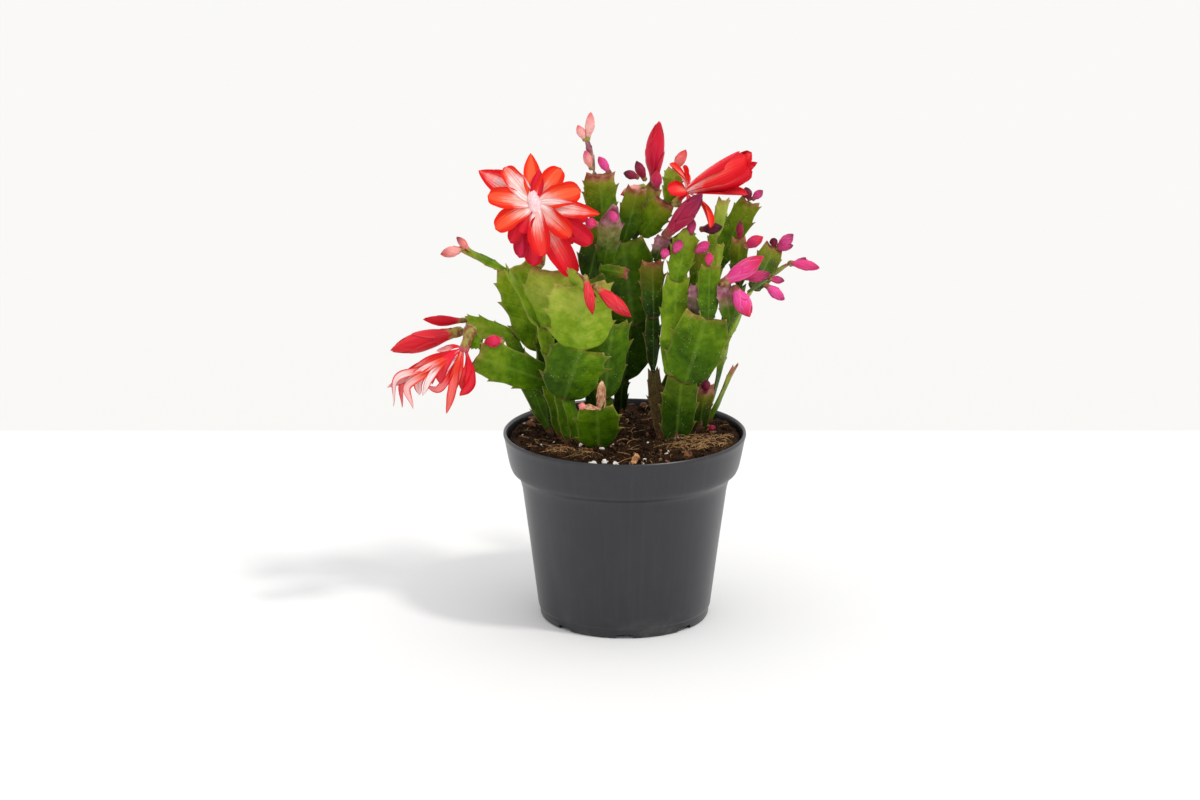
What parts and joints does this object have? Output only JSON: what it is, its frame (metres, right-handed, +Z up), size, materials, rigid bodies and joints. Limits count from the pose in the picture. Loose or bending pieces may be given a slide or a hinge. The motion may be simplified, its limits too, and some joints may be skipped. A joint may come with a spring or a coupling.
{
  "type": "potted christmas cactus",
  "caption": "Christmas cactus in bud and flower, with flat toothed stem segments, growing in a round plastic grower's pot.",
  "frame": {"origin": "centre of the pot's flat underside, on the surface it stands on", "axes": "+Z up; -Y towards the front, the side that the open flower faces; +X to the right seen from the front"},
  "size_m": [0.2285, 0.13, 0.274],
  "materials": {
    "pot_plastic": "matte",
    "compost": "rough, loose",
    "stem_green": "waxy, satin",
    "bud_pink": "satin",
    "flower_tube": "satin",
    "petal_red": "soft satin"
  },
  "bodies": {
    "root": {"bud_far_left": "bud_pink", "bud_far_right": "bud_pink", "bud_hanging_long": "bud_pink", "bud_hanging_short": "bud_pink", "bud_left_long": "bud_pink", "bud_left_short": "bud_pink", "bud_magenta": "bud_pink", "bud_orange": "bud_pink", "bud_peak_long": "bud_pink", "bud_peak_short": "bud_pink", "bud_right_long": "bud_pink", "bud_right_round": "bud_pink", "bud_tall_red": "bud_pink", "flower_left_petals": "petal_red", "flower_left_tube": "flower_tube", "flower_open_inner_petals": "petal_red", "flower_open_outer_petals": "petal_red", "flower_open_tube": "flower_tube", "flower_right_petals": "petal_red", "flower_right_tube": "flower_tube", "pot": "pot_plastic", "potting_compost": "compost", "stem_back_1": "stem_green", "stem_back_2": "stem_green", "stem_back_3": "stem_green", "stem_back_4": "stem_green", "stem_back_5": "stem_green", "stem_back_6": "stem_green", "stem_centre_1": "stem_green", "stem_centre_2": "stem_green", "stem_centre_3": "stem_green", "stem_front_1": "stem_green", "stem_front_2": "stem_green", "stem_front_3": "stem_green", "stem_inner_1": "stem_green", "stem_left_1": "stem_green", "stem_left_2": "stem_green", "stem_left_3": "stem_green", "stem_low_1": "stem_green", "stem_outer_1": "stem_green", "stem_outer_2": "stem_green", "stem_outer_3": "stem_green", "stem_outer_4": "stem_green", "stem_peak": "stem_green", "stem_rear_1": "stem_green", "stem_rear_2": "stem_green", "stem_rear_3": "stem_green", "stem_right_1": "stem_green", "stem_right_2": "stem_green", "stem_right_3": "stem_green", "stem_right_4": "stem_green", "stem_right_5": "stem_green", "stem_short_1": "stem_green", "stem_short_2": "stem_green", "stem_side_1": "stem_green", "stem_tall_1": "stem_green", "stem_tall_2": "stem_green", "stem_tall_3": "stem_green", "stem_woody_1": "stem_green", "stem_woody_2": "stem_green"}
  },
  "joints": []
}
